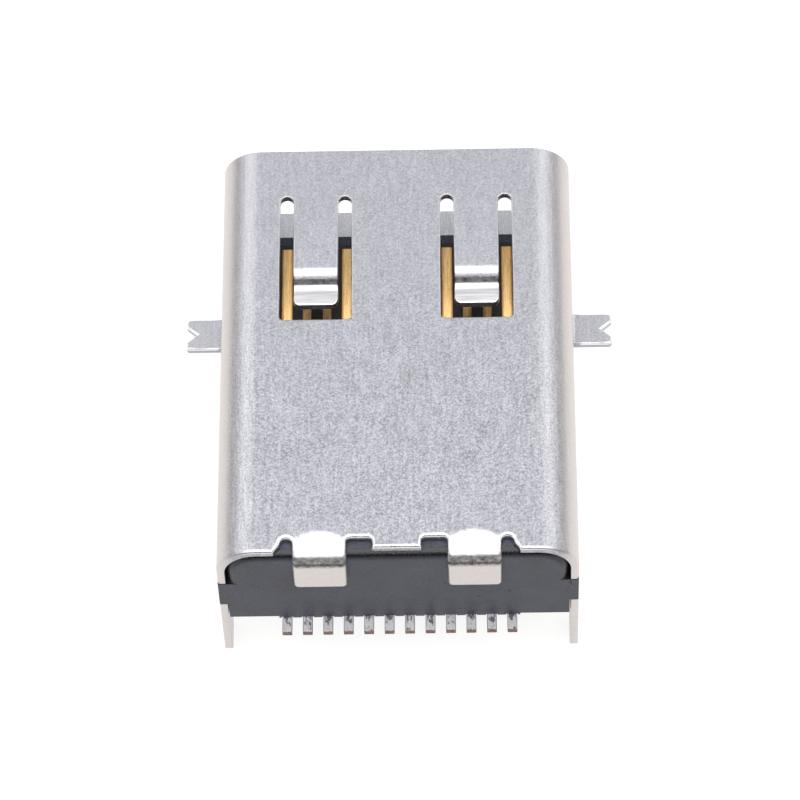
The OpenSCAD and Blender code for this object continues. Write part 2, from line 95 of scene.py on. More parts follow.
# where the edges of the rear end, of the fingers' slots and of the seam lie
REAR_EDGES_Y = -10.85
SLOTS_X, SLOTS_Y = 3.0, (-5.2, -1.2)
SEAM_X, SEAM_Y = 0.6, (-8.6, -0.1)

# the soldering ears: where they leave the shell, and their upper face
EAR_ROOT_X = 4.6
EAR_TOP_Z = -1.63

# the contacts: where beams join tails, their spacing, where gold ends, and their feet
CONTACT_JOINS = (-11.11, -9.11)
CONTACT_PITCH = 0.5
GOLD_END_Y = -8.8
FOOT_HALF_W = 0.12
FOOT_END_Y = -12.13

# A bend of sheet or strip: the axis that it runs along, the two coordinates of its centre line in
# the plane across that axis, its radii, and the angles in degrees between which it turns
QUARTERS = ((1, 1, 0), (-1, 1, 90), (-1, -1, 180), (1, -1, 270))
CORNER_BENDS = [
    ("Y", (side * CORNER_X, level * CORNER_Z), (CORNER_R - SHEET, CORNER_R), start, start + 90)
    for side, level, start in QUARTERS
]
FINGER_BENDS = [
    ("X", (-3.48, 1.06), (0.22, 0.42), 90, 150),
    ("X", (-4.0169, 1.37), (0.2, 0.4), 255, 330),
    ("X", (-3.48, -1.06), (0.22, 0.42), 210, 270),
    ("X", (-4.0169, -1.37), (0.2, 0.4), 30, 105),
]
TAB_BENDS = [("X", (TAB_BEND_Y, TAB_BEND_Z), (TAB_BEND_R - SHEET, TAB_BEND_R), 90, 180)]
EAR_BENDS = [
    ("Y", (4.49, -1.51), (0.12, 0.32), 180, 270),
    ("Y", (-4.49, -1.51), (0.12, 0.32), 270, 360),
]
PAD_BENDS = [
    ("Y", (side * 3.285, level * 0.54), (0.16,), start, start + 90)
    for side, level, start in QUARTERS
]
UPPER_TAIL_BENDS = [
    ("X", (-11.23, 0.08), (0.12, 0.27), 90, 180),
    ("X", (-11.62, -1.56), (0.12, 0.27), 270, 360),
]
LOWER_TAIL_BENDS = [
    ("X", (-9.23, -0.47), (0.12, 0.27), 90, 180),
    ("X", (-9.62, -1.56), (0.12, 0.27), 270, 360),
]
# how far from a bend's radius, in millimetres, and from its angles, in degrees, its facets reach
BEND_INWARDS, BEND_OUTWARDS, BEND_MARGIN = 0.016, 0.004, 0.5

# corners and edges closer than this many millimetres to a cut are taken to lie on it
CUT_REACH = 0.0004

# edges that turn by more than this, in degrees, are rounded over, in this many facets
SHARP_ANGLE = 32.0
EDGE_FACETS = 3

# shares of a piece's rounding: on the ears, round the fingers, in the seam's narrow gap, and on
# the moulding away from the rear ends of its side ribs
EAR_SHARE, FINGER_SHARE, SEAM_SHARE, MOULDED_SHARE = 0.5, 0.42, 0.05, 0.3

# most of a noise lies between these
NOISE_LOW, NOISE_HIGH = 0.32, 0.68

# the stage, in metres: the table's half width and its own light, as the eye sees it, and the
# curtains' radius, foot and steps
TABLE_HALF_W = 0.8
TABLE_GLOW = 0.84
CURTAIN_R = 0.3
CURTAIN_FOOT_Z = 0.01
CURTAIN_STEPS = 40

# the soft boxes: name, place and size in metres, share of the lamp light, and tint. A box has this
# power, in watts for each square metre, where the lamp light is 1
BOX_POWER = 4.0
BOXES = [
    ("top_box", (0.0, -0.13, 0.40), (0.60, 0.52), 0.85, (1.0, 1.0, 1.0)),
    ("left_box", (-0.20, 0.20, 0.24), (0.18, 0.22), 0.72, (1.0, 0.96, 0.91)),
    ("right_box", (0.20, 0.20, 0.24), (0.18, 0.22), 0.72, (1.0, 0.96, 0.91)),
]

# the camera: its place in millimetres, and in degrees how far it is turned from straight ahead,
# how high it looks down from, and how it is rolled
CAMERA_PLACE = (2.2419, -66.5337, 95.5953)
CAMERA_ANGLES = (2.085, 57.866, -2.6115)


# ---- settings that a user would change ----


class SocketSizes(bpy.types.PropertyGroup):
    """How round the edges are, and how the bends are cut"""

    sheared_edge: bpy.props.FloatProperty(
        name="Sheared edge", description="Rounding of the steel's sheared edges",
        default=0.022 * MM, min=0.0, unit="LENGTH", precision=6)
    rolled_edge: bpy.props.FloatProperty(
        name="Rolled edge", description="Rounding that the shears leave on the steel's upper side",
        default=0.10 * MM, min=0.0, unit="LENGTH", precision=6)
    moulded_edge: bpy.props.FloatProperty(
        name="Moulded edge", description="Rounding of the plastic's edges",
        default=0.03 * MM, min=0.0, unit="LENGTH", precision=6)
    strip_edge: bpy.props.FloatProperty(
        name="Strip edge", description="Rounding of the contacts' and plates' edges",
        default=0.015 * MM, min=0.0, unit="LENGTH", precision=6)
    bend_step: bpy.props.FloatProperty(
        name="Bend step", description="Angle of one facet in a bend of the metal",
        default=math.radians(5.0), min=math.radians(1.0), unit="ROTATION")
    tab_fall: bpy.props.FloatProperty(
        name="Tab fall", description="Slope at which the plate already falls before a tab's bend",
        default=math.radians(7.0), min=0.0, unit="ROTATION")


class SocketFinishes(bpy.types.PropertyGroup):
    """The colours of the metals and mouldings, and of a warm reflection painted on the steel's sides"""

    steel: bpy.props.FloatVectorProperty(
        name="Steel", description="Colour of the shell's steel",
        default=(0.388, 0.394, 0.432), min=0.0, max=1.0, subtype="COLOR")
    # the sides' colour is a painted reflection: the warm table as the walls, tabs and legs mirror it,
    # brighter than the steel
    side_painted_reflection: bpy.props.FloatVectorProperty(
        name="Side steel", description="Colour of the steel on the sides, the tabs and the legs",
        default=(0.62, 0.58, 0.565), min=0.0, max=1.0, subtype="COLOR")
    plastic: bpy.props.FloatVectorProperty(
        name="Housing plastic", description="Colour of the housing",
        default=(0.044, 0.049, 0.074), min=0.0, max=1.0, subtype="COLOR")
    insert: bpy.props.FloatVectorProperty(
        name="Insert plastic", description="Colour of the two mouldings that hold the contacts",
        default=(0.012, 0.013, 0.017), min=0.0, max=1.0, subtype="COLOR")
    gold: bpy.props.FloatVectorProperty(
        name="Gold", description="Colour of the plated contacts",
        default=(0.86, 0.57, 0.25), min=0.0, max=1.0, subtype="COLOR")
    tin: bpy.props.FloatVectorProperty(
        name="Tin", description="Colour of the tinned feet",
        default=(0.80, 0.80, 0.83), min=0.0, max=1.0, subtype="COLOR")
    copper: bpy.props.FloatVectorProperty(
        name="Copper", description="Colour of the strip where it was cut off",
        default=(0.25, 0.125, 0.095), min=0.0, max=1.0, subtype="COLOR")


class SocketStage(bpy.types.PropertyGroup):
    """The lens, and the strength of the light"""

    lens: bpy.props.FloatProperty(
        name="Lens", description="Focal length on a 36 mm sensor",
        default=205.23, min=20.0, unit="CAMERA")
    room: bpy.props.FloatProperty(
        name="Room light", description="Strength of the white room round the table",
        default=0.55, min=0.0)
    lamp: bpy.props.FloatProperty(
        name="Lamp light", description="Radiance of the soft boxes",
        default=1.7, min=0.0)


def sizes():
    """The sizes that the scene holds."""
    return bpy.context.scene.socket_sizes


def finishes():
    """The colours that the scene holds."""
    return bpy.context.scene.socket_finishes


# ---- shader maths ----


class Value:
    """One output of a shader node. Sums, products and powers of values add Math nodes."""

    def __init__(self, maker, socket):
        self.maker = maker
        self.socket = socket

    def output(self, name):
        """Another output of the same node."""
        return Value(self.maker, self.socket.node.outputs[name])

    def __add__(self, other):
        return self.maker.maths("ADD", self, other)

    def __sub__(self, other):
        return self.maker.maths("SUBTRACT", self, other)

    def __rsub__(self, other):
        return self.maker.maths("SUBTRACT", other, self)

    def __mul__(self, other):
        return self.maker.maths("MULTIPLY", self, other)

    def __truediv__(self, other):
        return self.maker.maths("DIVIDE", self, other)

    def __rtruediv__(self, other):
        return self.maker.maths("DIVIDE", other, self)

    def __pow__(self, other):
        return self.maker.maths("POWER", self, other)

    def __rpow__(self, other):
        return self.maker.maths("POWER", other, self)

    __radd__ = __add__
    __rmul__ = __mul__


class Maker:
    """Adds nodes to one node tree."""

    def __init__(self, tree):
        self.tree = tree
        tree.nodes.clear()

    def add(self, kind, settings=None, sockets=None, out=0):
        """Adds a node with its settings and the values or links of its sockets."""
        node = self.tree.nodes.new(kind)
        for name, setting in (settings or {}).items():
            setattr(node, name, setting)
        for name, value in (sockets or {}).items():
            if isinstance(value, Value):
                self.tree.links.new(value.socket, node.inputs[name])
            else:
                node.inputs[name].default_value = value
        return Value(self, node.outputs[out]) if node.outputs else None

    def maths(self, operation, *values):
        """One step of arithmetic on values or numbers."""
        return self.add("ShaderNodeMath", {"operation": operation}, dict(enumerate(values)))

    def clamp(self, value):
        """Keeps a value between 0 and 1."""
        return self.add("ShaderNodeClamp", None, {"Value": value})

    def fade(self, value, start, end):
        """0 before start and 1 past end, with a soft change between."""
        return self.add(
            "ShaderNodeMapRange", {"interpolation_type": "SMOOTHSTEP"},
            {"Value": value, "From Min": start, "From Max": end})

    def above(self, value, level, soft):
        """1 above a level, with a soft edge under it."""
        return self.fade(value, level - soft, level)

    def below(self, value, level, soft):
        """1 below a level, with a soft edge over it."""
        return self.fade(value, level + soft, level)

    def band(self, value, low, high, soft):
        """1 between two levels, with soft edges outside them."""
        return self.above(value, low, soft) * self.below(value, high, soft)

    def blend(self, factor, first, second):
        """Mixes two colours."""
        return self.add(
            "ShaderNodeMix", {"data_type": "RGBA"}, {"Factor": factor, 6: first, 7: second}, out=2)

    def places(self, stretch=(1.0, 1.0, 1.0)):
        """The piece's own coordinates in millimetres, scaled along X, Y and Z."""
        at = self.add("ShaderNodeTexCoord", out="Object")
        return self.add(
            "ShaderNodeMapping", None,
            {"Vector": at, "Scale": [factor / MM for factor in stretch]})

    def axes(self, places):
        """The three coordinates of a place, as values."""
        x = self.add("ShaderNodeSeparateXYZ", None, {"Vector": places})
        return x, x.output("Y"), x.output("Z")

    def noise(self, places, scale, detail, roughness):
        """A cloudy pattern, mostly from NOISE_LOW to NOISE_HIGH."""
        return self.add(
            "ShaderNodeTexNoise", None,
            {"Vector": places, "Scale": scale, "Detail": detail, "Roughness": roughness})

    def spread(self, noise):
        """The middle range of a noise, drawn out to reach from 0 to 1."""
        return self.add(
            "ShaderNodeMapRange", None,
            {"Value": noise, "From Min": NOISE_LOW, "From Max": NOISE_HIGH})

    def bump(self, height, depth_mm):
        """The normal of a surface that rises and falls with a height."""
        return self.add(
            "ShaderNodeBump", None, {"Height": height, "Distance": depth_mm * MM})

    def seen(self):
        """1 to the eye, in metal and through glass, and 0 where it only lights."""
        camera = self.add("ShaderNodeLightPath", out="Is Camera Ray")
        seen = self.maths("MAXIMUM", camera, camera.output("Is Glossy Ray"))
        return self.maths("MAXIMUM", seen, camera.output("Is Transmission Ray"))

    def finish(self, shader):
        """Makes a shader the material's surface."""
        self.add("ShaderNodeOutputMaterial", None, {"Surface": shader})


def new_material(name):
    """A new material, and the maker of its nodes."""
    material = bpy.data.materials.new(name)
    material.use_nodes = True
    return material, Maker(material.node_tree)


def colour4(colour, level=1.0):
    """A colour made lighter or darker, as a shader socket takes it."""
    return [channel * level for channel in colour] + [1.0]


# ---- materials ----


def sides_with_painted_reflection(make, at):
    """Where the steel is smoother and has a warm reflection of the table painted into its colour: on the
    walls, and on the faces of the tabs.
    """
    x, y, z = make.axes(at)
    reach = make.maths("ABSOLUTE", x)
    wall = make.above(reach, SHELL_SIDE_X - 0.05, 0.52)
    wall = wall * make.below(reach, SHELL_SIDE_X + 0.03, 0.05)
    tab_face = make.below(z, TAB_BEND_Z, 0.12) * make.below(reach, INNER_X, 0.1)
    tab_face = tab_face * make.below(y, SHELL_END_Y + 0.1, 0.1)
    return make.clamp(wall + tab_face)


def steel_painted_highlights(make, at, grain):
    """Where white highlights are painted on the steel: rims, the tabs' roots and the fingers' tips."""
    x, y, z = make.axes(at)
    reach = make.maths("ABSOLUTE", x)
    # how deep a place lies below the outer side of the sheet: the shears rounded the rims down, and a
    # highlight is painted on them
    out_x = make.maths("MAXIMUM", reach - CORNER_X, 0.0)
    out_z = make.maths("MAXIMUM", z - CORNER_Z, 0.0)
    depth = CORNER_R - (out_x * out_x + out_z * out_z) ** 0.5
    rim = make.band(depth, 0.018, 0.062, 0.016) * make.below(reach, CORNER_X + 0.03, 0.60)
    # round the fingers' slots the rims' painted highlight is weaker
    rim = rim * (1.0 - 0.55 * make.band(y, -5.0, -2.0, 0.1))
    # a painted highlight on the ears' rims
    ear_rim = make.above(reach, EAR_ROOT_X + 0.05, 0.10)
    ear_rim = ear_rim * make.band(z, EAR_TOP_Z - 0.07, EAR_TOP_Z - 0.008, 0.006)
    # a painted highlight on the tip of a finger, in fine stripes
    tip = make.below(y, HEEL_Y, 0.04) * make.above(y, TIP_END_Y, 0.02) * make.below(z, 1.40, 0.02)
    tip = tip * make.above(z, 1.0, 0.1) * make.below(reach, INNER_X, 0.1)
    stripes = make.spread(make.noise(make.places((1.0, 14.0, 0.0)), 1.0, 1.0, 0.5))
    # a painted highlight on the root of a tab, behind its arch
    tab_side = (reach - TAB_MIDDLE_X) / TAB_HALF_W
    arch = ARCH_FRONT_Y + (ARCH_SIDE_Y - ARCH_FRONT_Y) * tab_side * tab_side
    on_tab = make.below(make.maths("ABSOLUTE", tab_side), 0.94, 0.08) * make.above(z, 1.36, 0.04)
    root = make.below(y - arch + grain * 0.12, -0.03, 0.13) * on_tab
    return make.clamp(rim + root + ear_rim + tip * (0.55 + 0.45 * stripes))


def steel_painted_dark_bands(make, at):
    """Where a dark reflection is painted on the steel, which is also rougher there: on the tabs' bends
    and the fingers' slopes; and the colour of that painted dark.
    """
    x, y, z = make.axes(at)
    reach = make.maths("ABSOLUTE", x)
    inside = make.below(reach, INNER_X, 0.1) * make.below(z, SHELL_TOP_Z - 0.018, 0.014)
    tab = make.below(y, SHELL_END_Y + 0.15, 0.06) * make.above(z, 1.11, 0.04) * make.below(z, 1.25, 0.14)
    finger = make.band(y, HEEL_Y + 0.055, HEEL_Y + 0.12, 0.025)
    dark_band_mottle = make.spread(make.noise(make.places((8.0, 12.0, 12.0)), 1.0, 3.0, 0.65))
    dark_band_mottle = dark_band_mottle * (1.0 - 0.45 * finger)
    # the painted dark reflection, mottled
    painted_dark_colour = make.blend(dark_band_mottle, (0.05, 0.045, 0.042, 1.0), (0.55, 0.53, 0.52, 1.0))
    # the darkest painted line runs along the lower part of the tabs' bends
    painted_dark_colour = make.blend(make.band(z, 1.14, 1.18, 0.03) * 0.7, painted_dark_colour, (0.05, 0.042, 0.04, 1.0))
    return make.clamp(tab + finger) * inside, painted_dark_colour


def steel_material():
    """Satin sheet steel: mottled and finely scratched on top, smooth at the sides with a warm reflection
    painted there, and with painted highlights and painted dark reflections.
    """
    material, make = new_material("satin_steel")
    steel, side_painted_reflection = finishes().steel, finishes().side_painted_reflection
    at = make.places()
    x, y, _ = make.axes(at)
    grain = make.spread(make.noise(at, 22.0, 2.0, 0.6))
    scratches = make.spread(make.noise(make.places((13.0, 1.4, 13.0)), 1.0, 2.0, 0.6))
    clouds = make.spread(make.noise(at, 1.5, 2.0, 0.5))
    tone = grain * 0.70 + scratches * 0.22 + clouds * 0.08
    # the mottling is stronger towards the rear
    contrast = 0.55 + 0.45 * make.below(y, -8.0, 6.0)
    top = make.blend(0.5 + (tone - 0.5) * contrast, colour4(steel, 0.56), colour4(steel, 1.44))
    # painted reflection: the warm, bright table as the sides mirror it
    side = make.blend(tone, colour4(side_painted_reflection, 0.94), colour4(side_painted_reflection, 1.06))
    on_side = sides_with_painted_reflection(make, at)
    colour = make.blend(on_side, top, side)
    # the ears are stamped flat, and painted a little lighter as painted light against the shade that the
    # shell's wall puts on them
    on_ear = make.above(make.maths("ABSOLUTE", x), EAR_ROOT_X + 0.02, 0.12)
    colour = make.blend(on_ear * 0.15, colour, (0.66, 0.66, 0.70, 1.0))
    # painted highlights in near white on rims, the tabs' roots and the fingers' tips, where the steel is
    # also smoother
    painted_highlight = steel_painted_highlights(make, at, grain)
    colour = make.blend(painted_highlight, colour, (0.93, 0.92, 0.93, 1.0))
    # painted dark reflections on the tabs' bends and the fingers' slopes, which are also rougher
    painted_dark_band, painted_dark_colour = steel_painted_dark_bands(make, at)
    colour = make.blend(painted_dark_band * 0.9, colour, painted_dark_colour)
    calm = make.clamp(on_side + painted_highlight)
    height = (grain * 0.6 + scratches * 0.4) * (1.0 - calm * 0.8)
    roughness = 0.34 + 0.08 * grain - 0.08 * calm + 0.16 * painted_dark_band
    make.finish(make.add(
        "ShaderNodeBsdfPrincipled", None,
        {"Base Color": colour, "Metallic": 1.0, "Roughness": roughness,
         "Normal": make.bump(height, 0.004)}))
    return material


def plate_material():
    """Brighter, smoother steel of the plates inside."""
    material, make = new_material("plate_steel")
    steel = finishes().steel
    brushing = make.noise(make.places((3.0, 16.0, 16.0)), 1.0, 3.0, 0.6)
    colour = make.blend(brushing, colour4(steel, 0.85), colour4(steel, 1.1))
    make.finish(make.add(
        "ShaderNodeBsdfPrincipled", None,
        {"Base Color": colour, "Metallic": 1.0, "Roughness": 0.25 + 0.12 * brushing,
         "Normal": make.bump(brushing, 0.002)}))
    return material


def plastic_material(name, tint):
    """Glass-filled moulded plastic: half matte, finely grained, with fibres and small dark marks."""
    material, make = new_material(name)
    at = make.places()
    grain = make.spread(make.noise(at, 19.0, 3.0, 0.6))
    clouds = make.spread(make.noise(at, 1.3, 3.0, 0.55))
    fibres = make.spread(make.noise(make.places((22.0, 22.0, 16.0)), 1.0, 2.0, 0.6))
    tone = make.clamp(grain * 0.5 + clouds * 0.3 + fibres * 0.2)
    colour = make.blend(tone, colour4(tint, 0.3), colour4(tint, 1.9))
    marks = make.above(make.noise(make.places((3.2, 3.2, 1.6)), 1.0, 3.0, 0.7), 0.72, 0.06)
    colour = make.blend(marks, colour, colour4(tint, 0.3))
    # the rounded rear edge is glossier, and painted darker as painted shade under the shell's rear edge
    painted_shade_roll = make.band(make.axes(at)[1], SHELL_END_Y + 0.02, SHELL_END_Y + 0.22, 0.02)
    colour = make.blend(painted_shade_roll * 0.9, colour, colour4(tint, 0.12))
    make.finish(make.add(
        "ShaderNodeBsdfPrincipled", None,
        {"Base Color": colour, "Roughness": 0.36 + 0.10 * grain + 0.15 * marks - 0.16 * painted_shade_roll,
         "Normal": make.bump(grain + 0.5 * fibres, 0.003)}))
    return material


def contact_material():
    """Gold on the tongue, tin on the bent tails, bare copper alloy where the strip was cut off."""
    material, make = new_material("plated_contact")
    tints = finishes()
    at = make.places()
    x, y, _ = make.axes(at)
    from_middle = make.maths("PINGPONG", x + 0.5 * CONTACT_PITCH, 0.5 * CONTACT_PITCH)
    rolling = make.spread(make.noise(make.places((30.0, 1.6, 30.0)), 1.0, 2.0, 0.6))
    grain = make.spread(make.noise(at, 22.0, 2.0, 0.6))
    gold = make.blend(rolling, colour4(tints.gold, 0.66), colour4(tints.gold, 1.18))
    # painted shade: each contact turns darker brown towards its edges
    gold = make.blend(make.above(from_middle, 0.14, 0.08), gold, (0.42, 0.19, 0.06, 1.0))
    tin = make.blend(grain, colour4(tints.tin, 0.85), colour4(tints.tin, 1.1))
    # dark marks along the feet, more of them near the housing, and their dark sheared sides
    foot_marks_noise = make.noise(make.places((9.0, 5.0, 9.0)), 1.0, 3.0, 0.7)
    near_housing = make.above(y, SHELL_END_Y - 0.02, 0.28)
    dark_marks = make.above(foot_marks_noise + 0.11 * near_housing, 0.64, 0.08)
    dark_marks = dark_marks * make.below(from_middle, FOOT_HALF_W - 0.05, 0.03)
    sheared = make.above(from_middle, FOOT_HALF_W - 0.008, 0.014) * make.below(y, SHELL_END_Y, 0.1)
    tin = make.blend(make.clamp(dark_marks * 0.85 + sheared * 0.8), tin, (0.075, 0.068, 0.068, 1.0))
    patches = make.spread(make.noise(make.places((8.0, 8.0, 8.0)), 1.0, 2.0, 0.6))
    copper = make.blend(patches, (0.10, 0.092, 0.09, 1.0), colour4(tints.copper, 1.4))
    tinned = make.below(y, GOLD_END_Y, 0.2)
    cut = make.below(y + grain * 0.012, FOOT_END_Y + 0.016, 0.012)
    colour = make.blend(cut, make.blend(tinned, gold, tin), copper)
    roughness = 0.26 + 0.14 * rolling + 0.10 * tinned
    make.finish(make.add(
        "ShaderNodeBsdfPrincipled", None,
        {"Base Color": colour, "Metallic": 1.0 - 0.6 * tinned, "Roughness": roughness,
         "Normal": make.bump(rolling * 0.5 + grain, 0.002)}))
    return material


# ---- mesh work ----


def copy_nodes(names):
    """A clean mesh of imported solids: doubles merged and flat triangles joined into whole faces."""
    bm = bmesh.new()
    for name in names:
        bm.from_mesh(NODES[name].data)
    bmesh.ops.remove_doubles(bm, verts=bm.verts, dist=0.0005 * MM)
    bmesh.ops.dissolve_limit(
        bm, angle_limit=math.radians(0.5), verts=bm.verts, edges=bm.edges,
        use_dissolve_boundaries=False)
    return bm


def across(point, axis):
    """The two coordinates of a point in the plane across an axis, in millimetres."""
    pair = (point.x, point.z) if axis == "Y" else (point.y, point.z)
    return pair[0] / MM, pair[1] / MM


def in_plane(axis, first, second):
    """A vector in the plane across an axis."""
    return Vector((first, 0.0, second) if axis == "Y" else (0.0, first, second))


def on_bend(point, bend, radius):
    """Tells whether a point lies on one bend's surface, or just inside a facet of it."""
    axis, centre, _, start, end = bend
    u, v = across(point, axis)
    du, dv = u - centre[0], v - centre[1]
    angle = math.degrees(math.atan2(dv, du)) % 360
    first = start - BEND_MARGIN
    inside = first <= angle <= end + BEND_MARGIN or angle - 360 >= first
    return inside and -BEND_INWARDS < math.hypot(du, dv) - radius < BEND_OUTWARDS


def cut_faces(bm, faces, planes):
    """Cuts faces along planes, each given by a place in millimetres and a normal."""
    geometry = set(faces)
    for face in faces:
        geometry.update(face.edges)
        geometry.update(face.verts)
    for place, normal in planes:
        geometry = bmesh.ops.bisect_plane(
            bm, geom=list(geometry), dist=CUT_REACH * MM, plane_co=place * MM,
            plane_no=normal)["geom"]
    return geometry


def cut_rows(bm, faces, normal, rows):
    """Cuts faces along parallel planes, given in millimetres from the origin along the normal."""
    geometry = cut_faces(bm, faces, [(normal * row, normal) for row in rows])
    return [item for item in geometry if isinstance(item, bmesh.types.BMFace)]


def refine_bend(bm, bend):
    """Cuts the facets of a bend into finer ones and moves their corners onto the true radius."""
    axis, centre, radii, start, end = bend
    count = max(2, round((end - start) / math.degrees(sizes().bend_step)))
    angles = [math.radians(start + (end - start) * i / count) for i in range(1, count)]
    planes = [(in_plane(axis, *centre), in_plane(axis, -math.sin(angle), math.cos(angle)))
              for angle in angles]
    for radius in radii:
        facets = [f for f in bm.faces if all(on_bend(v.co, bend, radius) for v in f.verts)]
        if not facets:
            raise RuntimeError("no facets on the bend at %s, radius %s" % (centre, radius))
        geometry = cut_faces(bm, facets, planes)
        for vert in {item for item in geometry if isinstance(item, bmesh.types.BMVert)}:
            if not on_bend(vert.co, bend, radius):
                continue
            u, v = across(vert.co, axis)
            du, dv = u - centre[0], v - centre[1]
            grow = radius / math.hypot(du, dv)
            if axis == "Y":
                vert.co.x = (centre[0] + du * grow) * MM
            else:
                vert.co.y = (centre[0] + du * grow) * MM
            vert.co.z = (centre[1] + dv * grow) * MM


def sink_tab_roots(bm):
    """The plate's outer skin falls in an arch before each tab's bend, as coined sheet does."""
    x_axis, y_axis = Vector((1.0, 0.0, 0.0)), Vector((0.0, 1.0, 0.0))
    slope = math.tan(sizes().tab_fall)
    top = [f for f in bm.faces
           if f.normal.z > 0.999 and abs(f.verts[0].co.z / MM - SHELL_TOP_Z) < 0.001]
    top = cut_rows(bm, top, y_axis, [FALL_FRONT_Y])
    rear = [f for f in top if f.calc_center_median().y / MM < FALL_FRONT_Y]
    columns = [side * (TAB_MIDDLE_X + TAB_HALF_W * share)
               for side in (-1, 1) for share in FALL_COLUMNS]
    rear = cut_rows(bm, rear, x_axis, columns)
    rear = [f for f in rear
            if abs(abs(f.calc_center_median().x / MM) - TAB_MIDDLE_X) < TAB_HALF_W * FALL_SHARE]
    cut_rows(bm, rear, y_axis,
             [ARCH_FRONT_Y + (TAB_BEND_Y - ARCH_FRONT_Y) * i / FALL_ROWS for i in range(FALL_ROWS)])
    bend = [f for f in bm.faces if all(on_bend(v.co, TAB_BENDS[0], TAB_BEND_R) for v in f.verts)]
    cut_rows(bm, bend, x_axis, columns)
    for vert in bm.verts:
        x, y, z = vert.co / MM
        side = (abs(x) - TAB_MIDDLE_X) / TAB_HALF_W
        start = ARCH_FRONT_Y + (ARCH_SIDE_Y - ARCH_FRONT_Y) * side ** 2
        if abs(side) > FALL_SHARE + 0.01 or y > start or z < 1.3 or skin_depth(vert.co) > 0.01:
            continue
        fall = (start - y) ** 2 / (start - y + ARCH_EASE) * slope
        vert.co.z = min(z, SHELL_TOP_Z - fall) * MM


def new_piece(name, bm, nodes, material, edge, weights=None):
    """Makes an object of a mesh, which rounds its sharp edges over and replaces its nodes."""
    layer = bm.edges.layers.float.new("bevel_weight_edge")
    for side in bm.edges:
        if len(side.link_faces) == 2 and side.calc_face_angle(0.0) > math.radians(SHARP_ANGLE):
            side[layer] = weights(side) if weights else 1.0
    for face in bm.faces:
        face.smooth = True
    mesh = bpy.data.meshes.new(name)
    bm.to_mesh(mesh)
    bm.free()
    piece = bpy.data.objects.new(name, mesh)
    bpy.context.scene.collection.objects.link(piece)
    rounding = piece.modifiers.new("edges", "BEVEL")
    rounding.limit_method = "WEIGHT"
    rounding.width = edge
    rounding.segments = EDGE_FACETS
    rounding.profile = 0.5
    rounding.use_clamp_overlap = False
    # the flat faces are shaded flat, and only the rounded edges between them are shaded round
    rounding.face_strength_mode = "FSTR_ALL"
    shading = piece.modifiers.new("shading", "WEIGHTED_NORMAL")
    shading.mode = "CORNER_ANGLE"
    shading.use_face_influence = True
    shading.keep_sharp = False
    mesh.materials.append(material)
    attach(piece, BODY)
    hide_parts(*nodes)
    return piece


# ---- the pieces ----


def skin_depth(point):
    """How deep a point of the shell's rear end lies below the outer side of the sheet."""
    x, y, z = (value / MM for value in point)
    x = abs(x)
    if y < TAB_BEND_Y and abs(x - TAB_MIDDLE_X) < TAB_HALF_W + 0.05:
        if z > TAB_BEND_Z:
            return TAB_BEND_R - math.hypot(y - TAB_BEND_Y, z - TAB_BEND_Z)
        return y - TAB_BEND_Y + TAB_BEND_R
    if x > CORNER_X and z > CORNER_Z:
        return CORNER_R - math.hypot(x - CORNER_X, z - CORNER_Z)
    return min(SHELL_SIDE_X - x, SHELL_TOP_Z - z)


def middle_of(edge):
    """The middle of an edge, in millimetres."""
    return (edge.verts[0].co + edge.verts[1].co) / 2 / MM


def shell_edge_weight(edge):
    """Outer edges of the rear end are rolled over widely, and those of the ears and fingers less.

    The edges in the seam's gap hardly have room for any rounding. All others are sheared edges.
    """
    x, y, z = middle_of(edge)
    if y < REAR_EDGES_Y and z > 0.0 and all(skin_depth(vert.co) < 0.08 for vert in edge.verts):
        return 1.0
    if abs(x) < SLOTS_X and SLOTS_Y[0] < y < SLOTS_Y[1] and z > 0.9:
        return FINGER_SHARE
    if abs(x) > EAR_ROOT_X and z > EAR_TOP_Z - 0.01:
        return EAR_SHARE
    if abs(x) < SEAM_X and SEAM_Y[0] < y < SEAM_Y[1] and z < -1.2:
        return SEAM_SHARE
    return sizes().sheared_edge / sizes().rolled_edge


def housing_edge_weight(edge):
    """The rear outer edges of the side ribs are rounded in full, and all others less."""
    x, y, z = middle_of(edge)
    return 1.0 if abs(x) > 4.3 and y < -11.0 and z < -0.1 else MOULDED_SHARE


def contact_edge_weight(edge):
    """All edges but those of the small step between a contact's beam and its tail."""
    lies_across = all(
        min(abs(vert.co.y / MM - join) for join in CONTACT_JOINS) < 0.002 for vert in edge.verts)
    return 0.0 if lies_across else 1.0


class SOCKET_OT_shell(bpy.types.Operator):
    """Build the rolled steel shell with its spring fingers, tabs, ears and legs"""

    bl_idname = "socket.shell"
    bl_label = "Shell"

    def execute(self, context):
        bm = copy_nodes(["shell"])
        for bend in CORNER_BENDS + FINGER_BENDS + TAB_BENDS + EAR_BENDS:
            refine_bend(bm, bend)
        sink_tab_roots(bm)
        new_piece("shell_sheet", bm, ["shell"], steel_material(),
                  sizes().rolled_edge, shell_edge_weight)
        return {"FINISHED"}


class SOCKET_OT_housing(bpy.types.Operator):
    """Build the moulded housing with its tongue"""

    bl_idname = "socket.housing"
    bl_label = "Housing"

    def execute(self, context):
        new_piece("housing_moulding", copy_nodes(["housing"]), ["housing"],
                  plastic_material("housing_plastic", finishes().plastic),
                  sizes().moulded_edge, housing_edge_weight)
        return {"FINISHED"}


class SOCKET_OT_inserts(bpy.types.Operator):
    """Build the two mouldings that hold the rows of contacts"""

    bl_idname = "socket.inserts"
    bl_label = "Contact mouldings"

    def execute(self, context):
        material = plastic_material("insert_plastic", finishes().insert)
        # edges half as round as the contacts' own, so that the contacts still lie flush
        for name in ("upper_insert", "lower_insert"):
            new_piece(name + "_moulding", copy_nodes([name]), [name],
                      material, sizes().strip_edge * 0.5)
        return {"FINISHED"}


